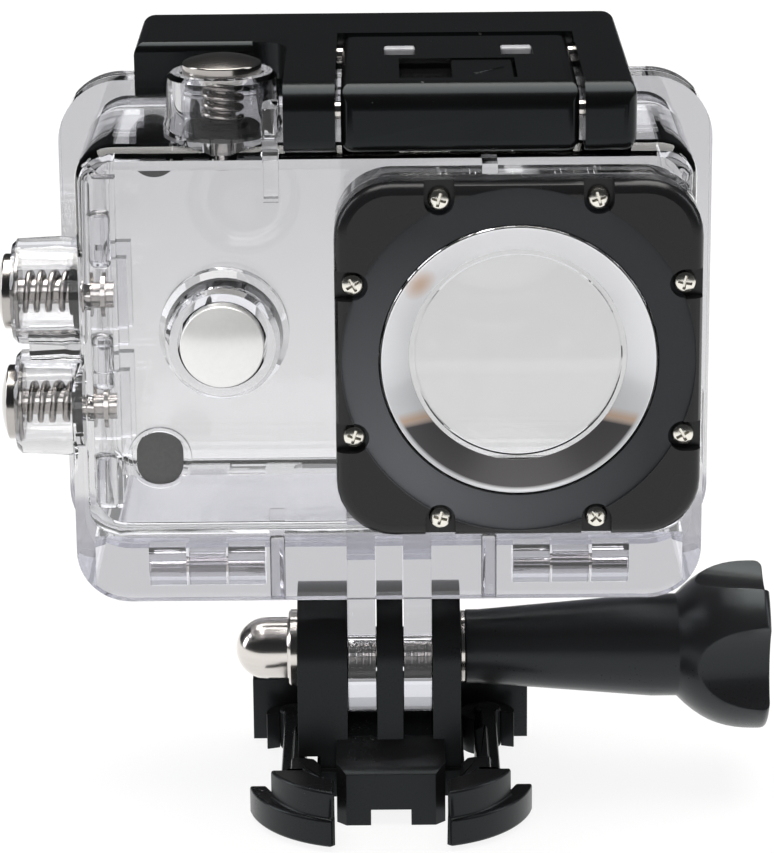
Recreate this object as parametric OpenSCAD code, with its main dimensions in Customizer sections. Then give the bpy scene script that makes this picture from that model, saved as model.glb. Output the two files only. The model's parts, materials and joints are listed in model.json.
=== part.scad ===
// Clear waterproof housing for a small action camera, on its tilt mount and
// quick-release buckle. X runs to the right as seen from the front, Y from the lens
// to the back door, Z up. The origin lies on the ground under the middle of the
// tilt screw. Lengths are in millimetres.

/* [Shell] */
// Width of the camera box, outside
shell_w = 68.6; // [64:0.2:84]
// Height of the camera box, outside
shell_h = 45.4; // [44:0.2:56]
// Depth of the front shell from its front face to its flange
shell_d = 21; // [19:0.1:30]
// Wall of the shell, the door and the button collars' floors
wall = 2; // [1.6:0.1:2.4]
// Radius of the camera box's corners, seen from the front
shell_corner = 4; // [3:0.1:6]
// Rounding of the camera box's front edges
shell_edge = 2.5; // [1.5:0.1:3]
// How far the sealing flange stands out round the box
flange_lip = 3.3; // [3:0.1:4.5]
// Thickness of the front shell's flange
flange_t = 2.8; // [2.4:0.1:3.4]
// How far the chin hangs below the camera box
chin_drop = 7.4; // [6.5:0.1:9]

/* [Back door] */
// Depth of the door behind the sealing plane
door_d = 9.4; // [7:0.1:14]
// Thickness of the door's flange
door_flange_t = 2.4; // [2:0.1:3.2]
// Radius of the door's hinge knuckles
knuckle_r = 2.5; // [2.2:0.1:2.7]
// Diameter of the door's hinge pins
hinge_pin_d = 1.9; // [1.5:0.1:2.2]

/* [Lens] */
// Side of the square lens block and of its bezel
bezel_w = 40; // [39:0.2:43]
// Thickness of the bezel
bezel_t = 4; // [3.6:0.1:5]
// How far the lens block stands in front of the shell
block_d = 4.5; // [4:0.1:7]
// Outer diameter of the window's bevel
window_d = 30.4; // [28:0.2:31]
// Diameter of the window's flat middle
window_flat_d = 24; // [20:0.2:25]
// Diameter of the bezel screws' heads
screw_head_d = 2.5; // [2:0.1:2.7]

/* [Buttons] */
// Travel of every button
press_travel = 2; // [1:0.1:2.2]
// Diameter of the plungers
plunger_d = 3; // [2.4:0.1:3.6]
// Diameter of the shutter button's cap
shutter_cap_d = 8.8; // [8:0.1:10]
// Diameter of the front button's cap
front_cap_d = 9.2; // [8:0.1:10]
// Diameter of the side buttons' caps
side_cap_d = 8.5; // [7.4:0.1:9]
// Distance between the two side buttons
side_pitch = 13; // [12:0.1:14]

/* [Latch] */
// Thickness of the latch over the flanges, from the lips' inside to the top
latch_roof = 4.2; // [3.6:0.1:5]
// Width of the lever
lever_w = 25.7; // [24:0.1:28]
// Width of each of the latch frame's arms
arm_w = 5.6; // [5:0.1:6.4]
// Diameter of the latch pin
latch_pin_d = 2; // [1.6:0.1:2.2]
// Travel of the slide lock
lock_travel = 5.4; // [4:0.1:6]

/* [Mount] */
// Height of the tilt screw above the ground
pivot_z = 16.5; // [15.5:0.1:20]
// Rise from the tilt screw to the camera box
finger_rise = 16.3; // [16:0.1:20]
// Thickness of the shell's two fingers
finger_t = 3.2; // [3:0.05:3.4]
// Thickness of the buckle's middle prong
prong_t = 3; // [2.8:0.05:3.2]
// Radius of the fingers' ends
finger_r = 7.5; // [6.5:0.1:8]
// Diameter of the tilt screw
screw_d = 4.9; // [4:0.1:5]
// Length of the thumb screw's barrel
barrel_len = 24.5; // [18:0.5:34]
// Diameter over the thumb screw's head
head_d = 19.8; // [16:0.2:22]

/* [Buckle] */
// Width over the buckle's rear wings
buckle_w = 33; // [31:0.2:36]
// Length of the buckle's middle plate
plate_len = 28.5; // [27:0.5:34]
// Reach of the side clips in front of the tilt screw
clip_reach = 22; // [21:0.5:26]

/* [Hidden] */
$fn = 64;
HULL_FN = 32;
CLEAR = [0.86, 0.86, 0.92, 0.4];
BLACK = [0.12, 0.12, 0.13];
STEEL = [0.74, 0.73, 0.71];
RUBBER = [0.08, 0.08, 0.085];

// Clearances
eps = 0.01;             // overlap that makes two solids of a union one
slip = 0.05;            // radial clearance of a pin or plunger in its bore
air = 0.3;              // gap between pieces that move past each other
side_gap = 0.1;         // gap between a finger and a prong
embed = 0.02;           // radial clearance of a moulded-in piece

// Shell
shell_z0 = pivot_z + finger_rise;
shell_z1 = shell_z0 + shell_h;
shell_mid_z = (shell_z0 + shell_z1) / 2;
front_y = -9.5;
flange_y0 = front_y + shell_d;
flange_y1 = flange_y0 + flange_t;
flange_top = shell_z1 + flange_lip;
flange_w = shell_w + 2 * flange_lip;
flange_corner = shell_corner + flange_lip;
hinge_z = shell_z0 - chin_drop - 3.3;
flange_bottom = hinge_z + knuckle_r + 2 * air;
cavity_w = shell_w - 2 * wall;
cavity_h = shell_h - 2 * wall;
chin_w = shell_w + 2;
chin_z0 = shell_z0 - chin_drop;
chin_y = front_y + 1;
chin_corner = 6;
rib_t = 1.7;
rib_xs = [-12.6, 11.3];

// Door
seal_gap = 0.3;
door_y0 = flange_y1 + seal_gap;
door_y1 = door_y0 + door_d;
hinge_y = flange_y1 + seal_gap / 2;
gasket_t = 1.3;
gasket_w = cavity_w + 3.4;
gasket_h = cavity_h + 3.4;
knuckle_len = 4.4;
knuckle_step = knuckle_len + air;
hinge_x = 21.6;

// Felt pads: one in a ring on the front face, one stuck inside the door
sound_pad_w = 5.2;
sound_pad_h = 6.1;
sound_pad_corner = 2.4;
sound_pad_t = 0.35;
pad_ring_w = 0.45;
pad_ring_h = 0.6;
sound_pad_place = [-25.5, shell_mid_z - 12.6];
door_pad_d = 5.8;
door_pad_t = 0.25;
door_pad_place = [-27.3, shell_z1 - 7.5];

// Lens
block_x = shell_w / 2 - bezel_w / 2;
block_z = shell_mid_z + 0.5;
block_y = front_y - block_d;
bezel_y = block_y - bezel_t;
bezel_corner = 6.3;
bay_r = window_d / 2 + 0.4;
bay_floor = wall + 0.4;
window_sink = 2.6;
window_lip_r = window_d / 2 + 1.3;
window_back = 1.1;
screw_near = 8.6;
screw_far = bezel_w / 2 - 2;
screw_places = [
    for (a = [0 : 90 : 270], s = [-1, 1])
        [screw_far * cos(a) - s * screw_near * sin(a), screw_far * sin(a) + s * screw_near * cos(a)]
];
screw_r = 0.9;
screw_len = 6.5;
counterbore_r = screw_head_d / 2 + 0.4;
counterbore_depth = 1.7;

// Buttons
collar_wall = 1.3;
function cap_gap_d(cap_d) = cap_d + 2 * air;
function rim_d(cap_d) = cap_gap_d(cap_d) + 2 * collar_wall;
shutter_collar_h = press_travel + 5.1;
front_collar_h = press_travel + 4.2;
side_collar_h = press_travel + 5.7;
shutter_x = -18;
shutter_y = -2.4;
front_button_x = -18;
front_button_z = shell_mid_z + 2.1;
side_y = -1;
side_z_mid = shell_mid_z - 2;
clip_t = 0.5;
spring_wire = 0.7;
spring_sides = 6;
spring_steps = 12;

// Latch
latch_top = flange_top + latch_roof + 0.5;
latch_front = bezel_y + 2.5;
latch_mid_x = 8.05;
lever_x0 = latch_mid_x - lever_w / 2;
lever_x1 = latch_mid_x + lever_w / 2;
arm_gap = 0.6;
arm_xs = [lever_x0 - arm_gap - arm_w, lever_x1 + arm_gap];
bar_x0 = -28.5;
bar_x1 = arm_xs[1] + arm_w;
bar_y0 = flange_y0 - 1.9;
bar_y1 = door_y1 + 4;
lip_t = 1.4;
latch_pin_y = latch_front + 3.5;
latch_pin_z = latch_top - 3.4;
latch_under = shell_z1 + 0.5;
lip_path_z = latch_pin_z - norm([latch_pin_y - latch_front, latch_pin_z - latch_under]) - air;
lug_t = 3;
lug_xs = [lever_x0 + 2.3, lever_x1 - 2.3 - lug_t];
lug_r = latch_pin_d / 2 + 0.9;
lug_leg_y = latch_pin_y + 4.8;
lug_leg_t = 2.7;
lever_pin_r = 0.9;
lever_pin_y = flange_y0 + 0.4;
lever_pin_z = latch_top - 2.1;
lever_tail_r = 2;
lever_skin = 1.2;
lever_wall = 1.3;
lock_x0 = latch_mid_x - 6.5;
lock_w = 12.8;
lock_y0 = latch_front + 4;
lock_d = 10.8;
slider_w = lock_w - lock_travel - 2 * air;
slider_t = 1;
lever_window_w = 3.6;
lever_window_d = 5.4;
lever_window_y = lock_y0 + lock_d + 1.9;
lever_window_xs = [latch_mid_x - 8.2, latch_mid_x + 4.9];

// Mount
finger_x = prong_t / 2 + side_gap;
outer_prong_x = finger_x + finger_t + side_gap;
outer_prong_t = finger_t;
prong_r = finger_r + 0.5;
nut_boss = 2.5;
nut_face_x = -(outer_prong_x + outer_prong_t + nut_boss);
nut_flange_t = 1.1;
nut_d = 7.2;
nut_len = 7.3;
washer_t = 0.6;
washer_x = outer_prong_x + outer_prong_t + side_gap;
barrel_x = washer_x + washer_t;
barrel_d0 = 8.6;
barrel_d1 = 11.9;
head_x = barrel_x + barrel_len;
head_len = 10.3;
head_rim = 0.9;
scoop_r = 8;
scoop_depth = 3.2;
scoop_tilt = 8;
bore_r = screw_d / 2 + slip;

// Buckle
plate_z0 = 1.9;
plate_top = 5;
plate_y0 = -14;
plate_y1 = plate_y0 + plate_len;
plate_w = 17;
block_w = 12.4;
block_top = 7;
foot_w = 3.9;
wing_t = 2.6;
wing_top = 8;
clip_root_x = 11.6;
clip_root_y = plate_y1 - wing_t - 3.3;
clip_root_r = 1.6;
clip_arm_t = 1.9;
clip_z0 = 0.6;
clip_z1 = 7.2;
fin_z1 = 3.9;
pad_r = 13;
pad_depth = 7.4;

// ---------- Shapes that repeat ----------

// Rounded rectangle, centred, with true arcs
module rounded(w, h, r) {
    square([w - 2 * r, h], center = true);
    square([w, h - 2 * r], center = true);
    for (x = [-1, 1], z = [-1, 1])
        translate([x * (w / 2 - r), z * (h / 2 - r)])
            circle(r);
}

// Puts a shape drawn in X and Z so that it grows from y towards the front
module facing_front(x, y, z) {
    translate([x, y, z])
        rotate([90, 0, 0])
            children();
}

// Puts a shape drawn in Y and Z so that it grows from x to the right
module facing_right(x) {
    translate([x, 0, 0])
        rotate([90, 0, 90])
            children();
}

// Round rod along X
module rod_x(x, y, z, r, length) {
    translate([x, y, z])
        rotate([0, 90, 0])
            cylinder(r = r, h = length);
}

// Rounded block whose top edge is rounded too, as a stack of thinner and thinner slices
module soft_block(w, h, r, depth, edge) {
    slice = 0.02;
    hull() {
        linear_extrude(slice)
            rounded(w, h, r, $fn = HULL_FN);
        for (a = [0 : 22.5 : 90])
            translate([0, 0, depth - edge + edge * sin(a) - slice])
                linear_extrude(slice)
                    rounded(w - 2 * edge * (1 - cos(a)), h - 2 * edge * (1 - cos(a)),
                            max(r - edge * (1 - cos(a)), 0.4), $fn = HULL_FN);
    }
}

// Open ring about Z
module ring(outer_r, inner_r, height) {
    difference() {
        cylinder(r = outer_r, h = height);
        translate([0, 0, -1])
            cylinder(r = inner_r, h = height + 2);
    }
}

// ---------- Places of the buttons: local Z points out of the shell ----------

module at_shutter() {
    translate([shutter_x, shutter_y, shell_z1])
        children();
}

module at_front_button() {
    translate([front_button_x, front_y, front_button_z])
        rotate([90, 0, 0])
            children();
}

module at_side_button(row) {
    translate([-shell_w / 2, side_y, side_z_mid + row * side_pitch / 2])
        rotate([0, -90, 0])
            children();
}

// ---------- Button pieces, in a button's own frame ----------

function cap_t(cap_d) = 1.9;
function cap_base(collar_h) = collar_h - 0.9;

// Clear collar that guards a button, with a wider foot
module button_collar(cap_d, collar_h, foot) {
    rotate_extrude()
        polygon([
            [0, -wall / 2], [rim_d(cap_d) / 2 + foot, -wall / 2], [rim_d(cap_d) / 2 + foot, 1.4],
            [rim_d(cap_d) / 2 + 0.35, 2.2], [rim_d(cap_d) / 2 + 0.1, collar_h - 0.5],
            [rim_d(cap_d) / 2 - 0.4, collar_h], [0, collar_h]
        ]);
}

// What is cut out of a collar and the wall under it
module button_well(cap_d, collar_h) {
    cylinder(d = cap_gap_d(cap_d), h = collar_h + 1);
    translate([0, 0, -wall - 1])
        cylinder(r = plunger_d / 2 + slip, h = wall + 2);
}

// Domed cap
module button_cap(cap_d, collar_h) {
    dome = 0.9;
    dome_r = (pow(cap_d / 2, 2) + dome * dome) / (2 * dome);
    translate([0, 0, cap_base(collar_h)])
        difference() {
            union() {
                cylinder(d = cap_d, h = cap_t(cap_d));
                translate([0, 0, cap_t(cap_d)])
                    intersection() {
                        translate([0, 0, dome - dome_r])
                            sphere(dome_r);
                        translate([0, 0, -eps])
                            cylinder(d = cap_d, h = dome + 1);
                    }
            }
            translate([0, 0, -eps])
                cylinder(r = plunger_d / 2 + embed, h = 1);
        }
}

// Plunger from the cap through the wall, with a groove for its clip
module button_plunger(collar_h) {
    tail = wall + air + clip_t + 0.9;
    difference() {
        translate([0, 0, -tail])
            cylinder(d = plunger_d, h = tail + cap_base(collar_h) + 0.95);
        translate([0, 0, -wall - air - clip_t - 0.05])
            ring(plunger_d, plunger_d / 2 - 0.4, clip_t + 0.1);
    }
}

// Retaining clip in the plunger's groove, with an open side
module button_clip() {
    translate([0, 0, -wall - air - clip_t])
        linear_extrude(clip_t)
            difference() {
                circle(plunger_d / 2 + 1);
                circle(plunger_d / 2 - 0.4 + embed);
                translate([0, -0.9])
                    square([plunger_d + 2, 1.8]);
            }
}

// Rubber seal round the plunger on the collar's floor
module button_seal(cap_d) {
    difference() {
        union() {
            translate([0, 0, 0.02])
                cylinder(r = cap_gap_d(cap_d) / 2 - 0.25, h = 0.8);
            translate([0, 0, 0.5])
                cylinder(r = plunger_d / 2 + 1.25, h = 0.9);
        }
        translate([0, 0, -1])
            cylinder(r = plunger_d / 2 + slip, h = 4);
    }
}

// Coil spring between the seal and the cap
module button_spring(collar_h) {
    z0 = 1.45 + spring_wire / 2;
    z1 = cap_base(collar_h) - 0.05 - spring_wire / 2;
    turns = 3.5;
    coil_r = plunger_d / 2 + spring_wire / 2 + 0.25;
    count = turns * spring_steps;
    rings = [
        for (i = [0 : count])
            let (a = 360 * i / spring_steps, z = z0 + (z1 - z0) * i / count)
                [for (k = [0 : spring_sides - 1])
                    let (b = 360 * k / spring_sides, out = coil_r + spring_wire / 2 * cos(b))
                        [out * cos(a), out * sin(a), z + spring_wire / 2 * sin(b)]]
    ];
    points = [for (one = rings) for (p = one) p];
    sides = [
        for (i = [0 : count - 1], k = [0 : spring_sides - 1])
            let (next = (k + 1) % spring_sides)
                [i * spring_sides + k, (i + 1) * spring_sides + k, (i + 1) * spring_sides + next, i * spring_sides + next]
    ];
    start = [[for (k = [0 : spring_sides - 1]) k]];
    end = [[for (k = [spring_sides - 1 : -1 : 0]) count * spring_sides + k]];
    polyhedron(points = points, faces = concat(sides, start, end), convexity = 8);
}

// ---------- Housing ----------

// Box, lens block, flange and chin before anything is cut out of them
module shell_body() {
    facing_front(0, flange_y0 + eps, shell_mid_z)
        soft_block(shell_w, shell_h, shell_corner, shell_d + eps, shell_edge);
    facing_front(block_x, front_y + wall, block_z)
        linear_extrude(block_d + wall)
            rounded(bezel_w, bezel_w, bezel_corner);
    facing_front(0, flange_y1, (flange_top + flange_bottom) / 2)
        linear_extrude(flange_t)
            rounded(flange_w, flange_top - flange_bottom, flange_corner);
    facing_front(0, flange_y0 + eps, (chin_z0 + shell_mid_z) / 2)
        linear_extrude(flange_y0 - chin_y + eps)
            rounded(chin_w, shell_mid_z - chin_z0, chin_corner);
}

module shell_hollows() {
    // Camera cavity
    facing_front(0, flange_y1 + 1, shell_mid_z)
        linear_extrude(flange_y1 + 1 - front_y - wall)
            rounded(cavity_w, cavity_h, shell_corner - wall + 0.5);
    // Lens bay and the window's spigot hole
    facing_front(block_x, front_y + wall + 1, block_z)
        cylinder(r = bay_r, h = block_d + 1 + wall - bay_floor);
    facing_front(block_x, front_y, block_z)
        cylinder(r = window_flat_d / 2 + 1, h = block_d + 1);
    // Groove of the window gasket
    facing_front(block_x, block_y + 0.8, block_z)
        ring(window_lip_r - 0.3, window_flat_d / 2 + 1.7, 1.8);
    // Under the chin
    translate([-chin_w / 2 + wall, chin_y + wall, chin_z0 - 1])
        cube([chin_w - 2 * wall, flange_y0 - chin_y - wall, chin_drop + 1]);
    // Pilot holes of the bezel screws
    for (p = screw_places)
        facing_front(block_x + p[0], block_y + screw_len - 1.6, block_z + p[1])
            cylinder(r = screw_r + embed, h = screw_len);
}

// Side view of a latch lug: an eye round the pin, carried by a gooseneck that the
// lever's lip passes under as the latch swings up
module lug_outline() {
    translate([latch_pin_y, latch_pin_z])
        circle(lug_r);
    polygon([
        [latch_pin_y, latch_pin_z + 1.2], [latch_pin_y, latch_pin_z - 1.35],
        [lug_leg_y, latch_pin_z - 1.35], [lug_leg_y, shell_z1 - 1.2],
        [lug_leg_y + lug_leg_t, shell_z1 - 1.2], [lug_leg_y + lug_leg_t, latch_pin_z + 0.4],
        [lug_leg_y + lug_leg_t - 0.8, latch_pin_z + 1.2]
    ]);
}

// Side view of a finger: round end, straight up to the camera box
module finger_outline() {
    translate([0, pivot_z])
        circle(finger_r);
    translate([-finger_r, pivot_z])
        square([2 * finger_r, finger_rise + wall / 2]);
}

module side_bridge() {
    translate([-shell_w / 2 - side_collar_h + 1.6, side_y - 1.5, side_z_mid - 3])
        cube([side_collar_h, 3, 6]);
}

// Guide ribs that steady the plungers inside the left wall
module plunger_guides() {
    guide_y = [side_y - 4.6, side_y + 3];
    for (row = [-1, 1], y = guide_y)
        translate([-cavity_w / 2 - eps, y, side_z_mid + row * side_pitch / 2 - 5])
            cube([3.4, 1.6, 10]);
    translate([-cavity_w / 2 - eps, front_y + wall - eps, shell_mid_z - 19])
        cube([2.4, 2.4, 38]);
}

module hinge_knuckles(offsets, web_y, web_t) {
    for (side = [-1, 1], offset = offsets) {
        x = side * hinge_x + offset - knuckle_len / 2;
        rod_x(x, hinge_y, hinge_z, knuckle_r, knuckle_len);
        translate([x, web_y, hinge_z])
            cube([knuckle_len, web_t, flange_bottom - hinge_z + 1]);
    }
}

module front_shell() color(CLEAR)
    difference() {
        union() {
            difference() {
                shell_body();
                shell_hollows();
            }
            at_shutter()
                button_collar(shutter_cap_d, shutter_collar_h, 0.6);
            at_front_button()
                button_collar(front_cap_d, front_collar_h, 1);
            for (row = [-1, 1])
                at_side_button(row)
                    button_collar(side_cap_d, side_collar_h, 0.2);
            side_bridge();
            plunger_guides();
            // Upright ribs on the roof's edge and the chin
            for (x = rib_xs)
                translate([x - rib_t / 2, chin_y - 0.6, chin_z0 + 0.4])
                    cube([rib_t, 2, chin_drop + 3]);
            translate([rib_xs[0] - rib_t / 2, front_y - 1, shell_z1 - 6])
                cube([rib_t, 5, 10.5]);
            translate([rib_xs[1] - rib_t / 2, block_y + 0.4, block_z + bezel_w / 2 - 0.5])
                cube([rib_t, block_d + 1.2, lip_path_z - block_z - bezel_w / 2 + 0.5]);
            for (x = lug_xs)
                facing_right(x)
                    linear_extrude(lug_t)
                        lug_outline();
            for (x = [-finger_x - finger_t, finger_x])
                facing_right(x)
                    linear_extrude(finger_t)
                        finger_outline();
            hinge_knuckles([-knuckle_step, knuckle_step], flange_y0, flange_t);
            // Ring round the sound pad
            facing_front(sound_pad_place[0], front_y + eps, sound_pad_place[1])
                ring(sound_pad_h / 2 + slip + pad_ring_w, sound_pad_h / 2 + slip, pad_ring_h);
        }
        at_shutter()
            button_well(shutter_cap_d, shutter_collar_h);
        at_front_button()
            button_well(front_cap_d, front_collar_h);
        for (row = [-1, 1])
            at_side_button(row)
                button_well(side_cap_d, side_collar_h);
        rod_x(-50, 0, pivot_z, bore_r, 100);
        rod_x(-50, latch_pin_y, latch_pin_z, latch_pin_d / 2 + embed, 100);
        rod_x(-50, hinge_y, hinge_z, hinge_pin_d / 2 + embed, 100);
    }

module sound_pad() color([0.28, 0.28, 0.29])
    facing_front(sound_pad_place[0], front_y - 0.02, sound_pad_place[1])
        linear_extrude(sound_pad_t)
            rounded(sound_pad_w, sound_pad_h, sound_pad_corner);

module lens_bezel() color(BLACK)
    difference() {
        facing_front(block_x, block_y, block_z)
            soft_block(bezel_w, bezel_w, bezel_corner, bezel_t, 1.3);
        facing_front(block_x, block_y + 1, block_z)
            cylinder(r = window_d / 2 + 0.1, h = bezel_t + 2);
        facing_front(block_x, block_y + 1, block_z)
            cylinder(r = window_lip_r + 0.1, h = 1 + window_back + 0.1);
        // Shallow dish round the window
        facing_front(block_x, bezel_y + 0.35, block_z)
            cylinder(r = bezel_w / 2 - 0.7, h = 1);
        for (i = [0 : len(screw_places) - 1]) {
            p = screw_places[i];
            facing_front(block_x + p[0], block_y + 1, block_z + p[1])
                cylinder(r = screw_r + 0.1, h = bezel_t + 2);
            facing_front(block_x, bezel_y + counterbore_depth, block_z)
                rotate([0, 0, 90 * floor(i / 2)])
                    translate([screw_far, (i % 2 * 2 - 1) * screw_near, 0]) {
                        cylinder(r = counterbore_r, h = 3);
                        translate([0, -counterbore_r, 0])
                            cube([3, 2 * counterbore_r, 3]);
                    }
        }
    }

module bezel_screws() color(STEEL)
    for (p = screw_places)
        facing_front(block_x + p[0], bezel_y + counterbore_depth, block_z + p[1])
            difference() {
                union() {
                    translate([0, 0, -bezel_t + counterbore_depth - screw_len + 2])
                        cylinder(r = screw_r, h = bezel_t - counterbore_depth + screw_len - 1.9);
                    translate([0, 0, 0.02])
                        cylinder(d = screw_head_d, h = 0.7);
                    translate([0, 0, 0.7])
                        cylinder(d1 = screw_head_d, d2 = screw_head_d - 0.9, h = 0.45);
                }
                // Cross recess
                for (a = [0, 90])
                    rotate([0, 0, a])
                        translate([-0.75, -0.18, 0.55])
                            cube([1.5, 0.36, 1]);
            }

// Dished window: flat middle, wide bevel, and a lip that the bezel holds
module lens_window() color([0.9, 0.93, 0.96, 0.3])
    facing_front(block_x, block_y, block_z)
        rotate_extrude()
            polygon([
                [0, bezel_t - 0.2 - window_sink], [window_flat_d / 2, bezel_t - 0.2 - window_sink],
                [window_d / 2 - 0.3, bezel_t - 0.2], [window_d / 2, bezel_t - 0.2],
                [window_d / 2, window_back], [window_lip_r, window_back], [window_lip_r, 0.03],
                [window_flat_d / 2 + 0.9, 0.03], [window_flat_d / 2 + 0.9, -0.6], [0, -0.6]
            ]);

module window_gasket() color(RUBBER)
    facing_front(block_x, block_y + 0.78, block_z)
        ring(window_lip_r - 0.35, window_flat_d / 2 + 1.75, 0.78);

module hinge_pins() color(STEEL)
    for (side = [-1, 1])
        rod_x(side * hinge_x - 1.5 * knuckle_step + 0.3, hinge_y, hinge_z, hinge_pin_d / 2,
              3 * knuckle_step - 0.6);

module latch_pin() color(STEEL)
    rod_x(arm_xs[0] + 1.2, latch_pin_y, latch_pin_z, latch_pin_d / 2,
          arm_xs[1] + arm_w - arm_xs[0] - 2.4);

// ---------- Back door ----------

module back_door() color(CLEAR)
    difference() {
        union() {
            facing_front(0, door_y0 + door_flange_t, (flange_top + flange_bottom) / 2)
                linear_extrude(door_flange_t)
                    rounded(flange_w, flange_top - flange_bottom, flange_corner);
            translate([0, door_y0 + eps, shell_mid_z])
                rotate([-90, 0, 0])
                    soft_block(shell_w - 0.6, shell_h - 0.6, shell_corner, door_d - eps, 2);
            // Catch ridge along the top, where the latch bears
            translate([bar_x0 + 3, door_y1 - 3.2, shell_z1 - 1.6])
                cube([bar_x1 - bar_x0 - 6, 1.8, 2]);
            hinge_knuckles([0], door_y0, door_flange_t);
        }
        facing_front(0, door_y1 - wall, shell_mid_z)
            linear_extrude(door_d)
                rounded(cavity_w - 0.6, cavity_h - 0.6, shell_corner - wall + 0.5);
        door_groove(gasket_t - seal_gap + 0.15);
        rod_x(-50, hinge_y, hinge_z, hinge_pin_d / 2 + slip, 100);
    }

// Felt pad stuck on the door's inner face
module door_pad() color(RUBBER)
    facing_front(door_pad_place[0], door_y1 - wall, door_pad_place[1])
        cylinder(d = door_pad_d, h = door_pad_t);

module gasket_outline(grow) {
    difference() {
        rounded(gasket_w + grow, gasket_h + grow, 4);
        rounded(gasket_w - 2.2 - grow, gasket_h - 2.2 - grow, 2.9);
    }
}

module door_groove(depth) {
    facing_front(0, door_y0 + depth, shell_mid_z)
        linear_extrude(depth + 1)
            gasket_outline(0.1);
}

module door_gasket() color([0.7, 0.7, 0.72])
    facing_front(0, flange_y1 + 0.13 + gasket_t - seal_gap + 0.28, shell_mid_z)
        linear_extrude(gasket_t - seal_gap + 0.28)
            gasket_outline(0);

// ---------- Latch ----------

module latch_frame() color(BLACK)
    difference() {
        union() {
            // Bar over both flanges
            facing_right(bar_x0)
                linear_extrude(bar_x1 - bar_x0)
                    bar_outline();
            for (x = arm_xs)
                facing_right(x)
                    linear_extrude(arm_w)
                        arm_outline();
        }
        // Room for the lever
        translate([lever_x0 - arm_gap, bar_y0 - 1, latch_under - 1])
            cube([lever_w + 2 * arm_gap, lever_pin_y + lever_tail_r + 0.4 - bar_y0 + 1, 12]);
        rod_x(arm_xs[0] + 1, latch_pin_y, latch_pin_z, latch_pin_d / 2 + slip,
              arm_xs[1] + arm_w - arm_xs[0] - 2);
        rod_x(arm_xs[0] + 2, lever_pin_y, lever_pin_z, lever_pin_r + embed,
              arm_xs[1] + arm_w - arm_xs[0] - 4);
    }

module bar_outline() {
    edge = 1.2;
    difference() {
        translate([(bar_y0 + bar_y1) / 2, (latch_top + flange_top - 1.9) / 2])
            rounded(bar_y1 - bar_y0, latch_top - flange_top + 1.9, edge);
        translate([bar_y0 + lip_t, flange_top - 4])
            square([bar_y1 - bar_y0 - 2 * lip_t - 0.2, 4.5]);
        translate([bar_y0 + lip_t + 5, flange_top - 4])
            square([20, 3.2]);
    }
}

module arm_outline() {
    edge = 1.2;
    length = bar_y0 + lip_t - latch_front;
    translate([latch_front + length / 2, (latch_top + latch_under) / 2])
        rounded(length, latch_top - latch_under, edge);
    translate([bar_y0 - 1, flange_top + 0.5])
        square([lip_t + 4, latch_top - flange_top - 0.5]);
}

module lever_pin() color(STEEL)
    rod_x(arm_xs[0] + 2.3, lever_pin_y, lever_pin_z, lever_pin_r,
          arm_xs[1] + arm_w - arm_xs[0] - 4.6);

// Side view of the lever: lip in front, flat roof, round tail about its pin
module lever_outline() {
    edge = 1.2;
    height = latch_top - latch_under;
    translate([latch_front + 3, latch_top - height / 2])
        rounded(6, height, edge);
    translate([latch_front + 2, flange_top + 0.6])
        square([lever_pin_y - latch_front - 2, latch_top - flange_top - 0.6]);
    translate([lever_pin_y, lever_pin_z])
        circle(lever_tail_r);
}

module latch_lever() color(BLACK)
    difference() {
        facing_right(lever_x0)
            linear_extrude(lever_w)
                lever_outline();
        // Hollow behind the lip, over the shell's lugs
        translate([lever_x0 + lever_wall, latch_front + lever_wall, latch_under - 1])
            cube([lever_w - 2 * lever_wall, lug_leg_y + lug_leg_t + 0.8 - latch_front - lever_wall,
                  latch_top - lever_skin - latch_under + 1]);
        // Slots that let the lever drop over the latch pin
        translate([lever_x0 - 1, latch_pin_y - latch_pin_d / 2 - 0.5, latch_under - 1])
            cube([lever_w + 2, latch_pin_d + 2.2, latch_pin_z + latch_pin_d / 2 + 1.5 - latch_under]);
        // Bed of the slide lock, and the opening it uncovers
        translate([lock_x0, lock_y0, latch_top - lever_skin])
            cube([lock_w, lock_d, 3]);
        // Two windows
        for (x = lever_window_xs)
            translate([x, lever_window_y, flange_top - 1])
                cube([lever_window_w, lever_window_d, 12]);
        rod_x(lever_x0 - 1, lever_pin_y, lever_pin_z, lever_pin_r + slip, lever_w + 2);
    }

// Slider that locks the lever, with a ridge for the thumb
module slide_lock() color(BLACK) {
    translate([lock_x0 + air + lock_travel, lock_y0 + air, latch_top - lever_skin + 0.05]) {
        cube([slider_w, lock_d - 2 * air, slider_t]);
        translate([0.6, 1.2, 0])
            cube([1.1, lock_d - 2 * air - 2.4, slider_t + 0.1]);
    }
}

// ---------- Buttons ----------

module shutter_cap() color(STEEL) at_shutter() button_cap(shutter_cap_d, shutter_collar_h);
module shutter_plunger() color(STEEL) at_shutter() button_plunger(shutter_collar_h);
module shutter_spring() color(STEEL) at_shutter() button_spring(shutter_collar_h);
module shutter_seal() color(RUBBER) at_shutter() button_seal(shutter_cap_d);
module shutter_clip() color(STEEL) at_shutter() button_clip();

module front_cap() color([0.93, 0.93, 0.92]) at_front_button() button_cap(front_cap_d, front_collar_h);
module front_plunger() color(STEEL) at_front_button() button_plunger(front_collar_h);
module front_spring() color(STEEL) at_front_button() button_spring(front_collar_h);
module front_seal() color(RUBBER) at_front_button() button_seal(front_cap_d);
module front_clip() color(STEEL) at_front_button() button_clip();

module upper_side_cap() color(STEEL) at_side_button(1) button_cap(side_cap_d, side_collar_h);
module upper_side_plunger() color(STEEL) at_side_button(1) button_plunger(side_collar_h);
module upper_side_spring() color(STEEL) at_side_button(1) button_spring(side_collar_h);
module upper_side_seal() color(RUBBER) at_side_button(1) button_seal(side_cap_d);
module upper_side_clip() color(STEEL) at_side_button(1) button_clip();

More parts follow.
